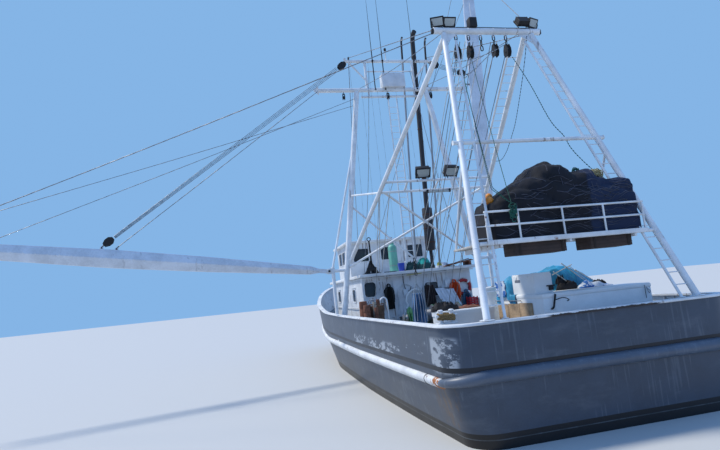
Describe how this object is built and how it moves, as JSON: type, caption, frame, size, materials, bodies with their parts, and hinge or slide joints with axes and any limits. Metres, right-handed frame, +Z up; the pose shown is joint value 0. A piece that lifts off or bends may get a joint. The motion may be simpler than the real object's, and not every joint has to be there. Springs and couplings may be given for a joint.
{
  "type": "fishing trawler",
  "caption": "Steel stern-rigged shrimp trawler with a slate blue hull, white A-frame mast, stern gantry with a net platform, and hinged outriggers, afloat.",
  "frame": {"origin": "amidships on the centreline, at the waterline", "axes": "+X starboard, +Y forward to the bow, +Z up; the boat floats upright with the floor at its waterline"},
  "size_m": [22.5929, 26.0724, 21.717],
  "materials": {
    "basket_brown": "brown plastic baskets",
    "bronze": "cast bronze, dull",
    "cap_white": "worn white enamel with rust at its edges",
    "green_paint": "green machinery enamel",
    "house_white": "white enamel, dulled",
    "hull_blue": "slate blue enamel, scuffed and rust-streaked",
    "hull_bottom": "black bottom paint",
    "iron_black": "black heat-proof paint, rusty",
    "net_dark": "dark blue-black netting",
    "plastic_white": "white moulded plastic, grubby",
    "rig_white": "white enamel with rust at welds and foot plates",
    "ring_red": "dark red buoyancy ring",
    "steel": "bare steel, weathered",
    "tarp_blue": "blue woven tarpaulin",
    "wood_brown": "dark painted boards"
  },
  "bodies": {
    "vessel": {"anchor": "iron_black", "basket_stack": "basket_brown", "bulwark_port": "hull_blue", "bulwark_starboard": "hull_blue", "bulwark_transom": "hull_blue", "cap_rail": "cap_white", "deck_box": "house_white", "deckhouse_aft_wall": "house_white", "deckhouse_front_wall": "house_white", "deckhouse_port_wall": "house_white", "deckhouse_roof": "house_white", "deckhouse_starboard_wall": "house_white", "exhaust_pipe_inboard": "steel", "exhaust_pipe_outboard": "steel", "exhaust_stack": "iron_black", "gantry_crossbar": "rig_white", "gantry_leg_port": "rig_white", "gantry_leg_starboard": "rig_white", "gantry_strut_port": "rig_white", "gantry_strut_starboard": "rig_white", "gantry_top_beam": "rig_white", "green_tank": "green_paint", "hatch_coaming": "house_white", "hull": "hull_blue", "ice_chest": "plastic_white", "keel_skeg": "hull_bottom", "life_ring": "ring_red", "main_frame_leg_port": "rig_white", "main_frame_leg_starboard": "rig_white", "main_frame_yards": "rig_white", "main_stays": "steel", "mast_ladder": "rig_white", "net_pile": "net_dark", "net_platform": "rig_white", "pilothouse_aft_wall": "house_white", "pilothouse_front_wall": "house_white", "pilothouse_port_wall": "house_white", "pilothouse_roof": "house_white", "pilothouse_starboard_wall": "house_white", "platform_box_port": "wood_brown", "platform_box_starboard": "wood_brown", "rub_rail_port": "cap_white", "rub_rail_starboard": "cap_white", "strut_cross_bars": "rig_white", "tarp_heap": "tarp_blue", "transom_fender": "hull_blue", "white_tub": "plastic_white", "winch_frame": "green_paint"},
    "propeller_screw": {"propeller": "bronze", "propeller_shaft": "steel"},
    "rudder_blade": {"rudder": "hull_bottom"},
    "outrigger_port_spar": {"outrigger_port": "rig_white"},
    "outrigger_starboard_spar": {"outrigger_starboard": "rig_white"},
    "winch_drum_port_reel": {"winch_drum_port": "steel"},
    "winch_drum_starboard_reel": {"winch_drum_starboard": "steel"},
    "deckhouse_door_leaf": {"deckhouse_aft_door": "house_white"},
    "pilothouse_port_leaf": {"pilothouse_port_door": "house_white"},
    "pilothouse_starboard_leaf": {"pilothouse_starboard_door": "house_white"},
    "hatch_cover": {"hatch_lid": "house_white"},
    "chest_cover": {"ice_chest_lid": "plastic_white"}
  },
  "joints": [
    {"name": "propeller_spin", "type": "hinge", "parent": "vessel", "child": "propeller_screw", "pos_m": [0, -9.44, -1.85], "axis": [0, 1, 0], "continuous": true},
    {"name": "rudder_turn", "type": "hinge", "parent": "vessel", "child": "rudder_blade", "pos_m": [0, -10.15, -1.8], "axis": [0, 0, 1], "range_deg": [-35, 35]},
    {"name": "outrigger_port_swing", "type": "hinge", "parent": "vessel", "child": "outrigger_port_spar", "pos_m": [-3.8, -0.44, 4.27], "axis": [-0.165, 0.9863, 0], "range_deg": [-7.7, 80.3]},
    {"name": "outrigger_starboard_swing", "type": "hinge", "parent": "vessel", "child": "outrigger_starboard_spar", "pos_m": [3.8, -0.44, 4.27], "axis": [-0.165, -0.9863, 0], "range_deg": [-88, 0]},
    {"name": "winch_drum_port_spin", "type": "hinge", "parent": "vessel", "child": "winch_drum_port_reel", "pos_m": [0, -2.3, 2.08], "axis": [1, 0, 0], "continuous": true},
    {"name": "winch_drum_starboard_spin", "type": "hinge", "parent": "vessel", "child": "winch_drum_starboard_reel", "pos_m": [0, -2.3, 2.08], "axis": [1, 0, 0], "continuous": true},
    {"name": "deckhouse_door_swing", "type": "hinge", "parent": "vessel", "child": "deckhouse_door_leaf", "pos_m": [-1.7497, -0.65, 2.6], "axis": [0, 0, -1], "range_deg": [0, 100]},
    {"name": "pilothouse_port_door_swing", "type": "hinge", "parent": "vessel", "child": "pilothouse_port_leaf", "pos_m": [-2.05, 4.4997, 4.85], "axis": [0, 0, -1], "range_deg": [0, 100]},
    {"name": "pilothouse_starboard_door_swing", "type": "hinge", "parent": "vessel", "child": "pilothouse_starboard_leaf", "pos_m": [2.05, 4.4997, 4.85], "axis": [0, 0, 1], "range_deg": [0, 100]},
    {"name": "hatch_lid_swing", "type": "hinge", "parent": "vessel", "child": "hatch_cover", "pos_m": [0, -4.76, 1.92], "axis": [-1, 0, 0], "range_deg": [0, 100]},
    {"name": "ice_chest_lid_swing", "type": "hinge", "parent": "vessel", "child": "chest_cover", "pos_m": [-0.01, -10.375, 3.2], "axis": [0, 1, 0], "range_deg": [0, 100]}
  ]
}
